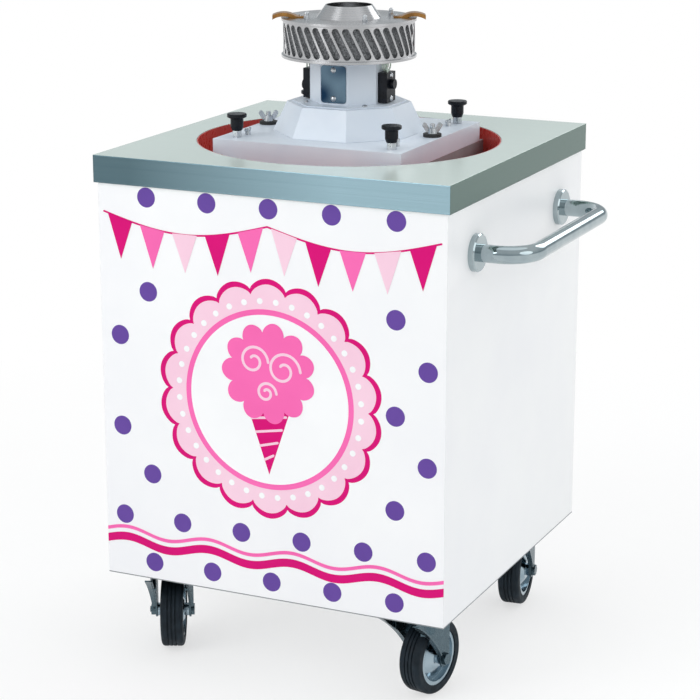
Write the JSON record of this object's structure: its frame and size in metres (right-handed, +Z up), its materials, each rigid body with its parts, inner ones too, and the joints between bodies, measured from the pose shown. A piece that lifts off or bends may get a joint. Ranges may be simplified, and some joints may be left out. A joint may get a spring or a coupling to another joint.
{
  "type": "cotton candy cart",
  "caption": "Wheeled cotton candy cart: boxed cabinet with a steel worktop, a round well holding a spinning floss machine, a tubular push handle and swivel casters.",
  "frame": {"origin": "on the floor, under the spinner's axis and the middle of the cabinet", "axes": "+Z up along the spin axis, -Y out of the front panel, +X towards the push handle"},
  "size_m": [0.704, 0.633, 1.079],
  "materials": {
    "white_board": "gloss white laminate",
    "stainless": "brushed stainless sheet",
    "red_paint": "gloss enamel",
    "grey_paint": "satin paint",
    "chrome": "polished",
    "zinc": "zinc plated",
    "rim_steel": "bright pressed steel",
    "tyre_rubber": "matt",
    "black_knob": "semi gloss",
    "machine_paint": "fine textured powder coat",
    "hatch_steel": "satin",
    "black_plastic": "moulded",
    "carbon": "pressed carbon",
    "pale_lead": "sleeved wire",
    "motor_paint": "satin",
    "ground_steel": "ground",
    "washer_rubber": "matt",
    "ring_brass": "turned",
    "head_aluminium": "turned and polished",
    "heater_steel": "heat darkened",
    "clip_bronze": "amber bronze"
  },
  "bodies": {
    "cart": {"base_board": "white_board", "front_panel": "white_board", "left_panel": "white_board", "right_panel": "white_board", "rear_frame": "white_board", "worktop": "stainless", "well_pan": "red_paint", "support_rails": "grey_paint", "handle_tube": "chrome", "handle_flanges": "chrome", "hinge_frame_leaves": "zinc", "hinge_pins": "zinc", "caster_plates": "zinc", "plunger_bushes": "zinc", "clamp_studs": "zinc", "wing_nuts": "zinc", "dome_screws": "zinc", "machine_base": "machine_paint", "pyramid_housing": "machine_paint", "neck_housing": "machine_paint", "inspection_plate": "hatch_steel", "brush_holders": "black_plastic", "brush_caps": "black_plastic", "magnet_catch": "black_plastic", "carbon_brushes": "carbon", "brush_leads": "pale_lead", "motor": "motor_paint", "bearings": "ground_steel", "rubber_washers": "washer_rubber"},
    "spinner": {"spindle": "ground_steel", "slip_rings": "ring_brass", "head_base": "head_aluminium", "slotted_band": "head_aluminium", "heater_ring": "heater_steel", "top_cover": "head_aluminium", "cover_studs": "zinc", "rim_clips": "clip_bronze"},
    "door_leaf": {"door": "white_board", "hinge_door_leaves": "zinc", "door_knob": "chrome"},
    "caster_fl": {"fork_fl": "zinc", "axle_fl": "zinc"},
    "wheel_fl": {"rim_fl": "rim_steel", "tyre_fl": "tyre_rubber"},
    "index_pin_fl": {"plunger_fl": "black_knob"},
    "caster_fr": {"fork_fr": "zinc", "axle_fr": "zinc"},
    "wheel_fr": {"rim_fr": "rim_steel", "tyre_fr": "tyre_rubber"},
    "index_pin_fr": {"plunger_fr": "black_knob"},
    "caster_rl": {"fork_rl": "zinc", "axle_rl": "zinc"},
    "wheel_rl": {"rim_rl": "rim_steel", "tyre_rl": "tyre_rubber"},
    "index_pin_rl": {"plunger_rl": "black_knob"},
    "caster_rr": {"fork_rr": "zinc", "axle_rr": "zinc"},
    "wheel_rr": {"rim_rr": "rim_steel", "tyre_rr": "tyre_rubber"},
    "index_pin_rr": {"plunger_rr": "black_knob"}
  },
  "joints": [
    {"name": "spinner_spin", "type": "hinge", "parent": "cart", "child": "spinner", "pos_m": [0, 0, 1], "axis": [0, 0, 1], "continuous": true},
    {"name": "door_swing", "type": "hinge", "parent": "cart", "child": "door_leaf", "pos_m": [-0.2215, 0.305, 0.486], "axis": [0, 0, 1], "range_deg": [0, 110]},
    {"name": "swivel_fl", "type": "hinge", "parent": "cart", "child": "caster_fl", "pos_m": [-0.225, -0.225, 0.15], "axis": [0, 0, 1], "continuous": true},
    {"name": "roll_fl", "type": "hinge", "parent": "caster_fl", "child": "wheel_fl", "pos_m": [-0.23979, -0.19328, 0.0625], "axis": [-0.9063, -0.4226, 0], "continuous": true},
    {"name": "pull_fl", "type": "slide", "parent": "cart", "child": "index_pin_fl", "axis": [0, 0, 1], "range_m": [0, 0.006], "stiffness_N_per_m": 600, "springref_m": -0.004},
    {"name": "swivel_fr", "type": "hinge", "parent": "cart", "child": "caster_fr", "pos_m": [0.225, -0.225, 0.15], "axis": [0, 0, 1], "continuous": true},
    {"name": "roll_fr", "type": "hinge", "parent": "caster_fr", "child": "wheel_fr", "pos_m": [0.23168, -0.19064, 0.0625], "axis": [-0.9816, 0.1908, 0], "continuous": true},
    {"name": "pull_fr", "type": "slide", "parent": "cart", "child": "index_pin_fr", "axis": [0, 0, 1], "range_m": [0, 0.006], "stiffness_N_per_m": 600, "springref_m": -0.004},
    {"name": "swivel_rl", "type": "hinge", "parent": "cart", "child": "caster_rl", "pos_m": [-0.225, 0.2, 0.15], "axis": [0, 0, 1], "continuous": true},
    {"name": "roll_rl", "type": "hinge", "parent": "caster_rl", "child": "wheel_rl", "pos_m": [-0.23108, 0.23447, 0.0625], "axis": [-0.9848, -0.1736, 0], "continuous": true},
    {"name": "pull_rl", "type": "slide", "parent": "cart", "child": "index_pin_rl", "axis": [0, 0, 1], "range_m": [0, 0.006], "stiffness_N_per_m": 600, "springref_m": -0.004},
    {"name": "swivel_rr", "type": "hinge", "parent": "cart", "child": "caster_rr", "pos_m": [0.225, 0.2, 0.15], "axis": [0, 0, 1], "continuous": true},
    {"name": "roll_rr", "type": "hinge", "parent": "caster_rr", "child": "wheel_rr", "pos_m": [0.22134, 0.23481, 0.0625], "axis": [-0.9945, -0.1045, 0], "continuous": true},
    {"name": "pull_rr", "type": "slide", "parent": "cart", "child": "index_pin_rr", "axis": [0, 0, 1], "range_m": [0, 0.006], "stiffness_N_per_m": 600, "springref_m": -0.004}
  ]
}
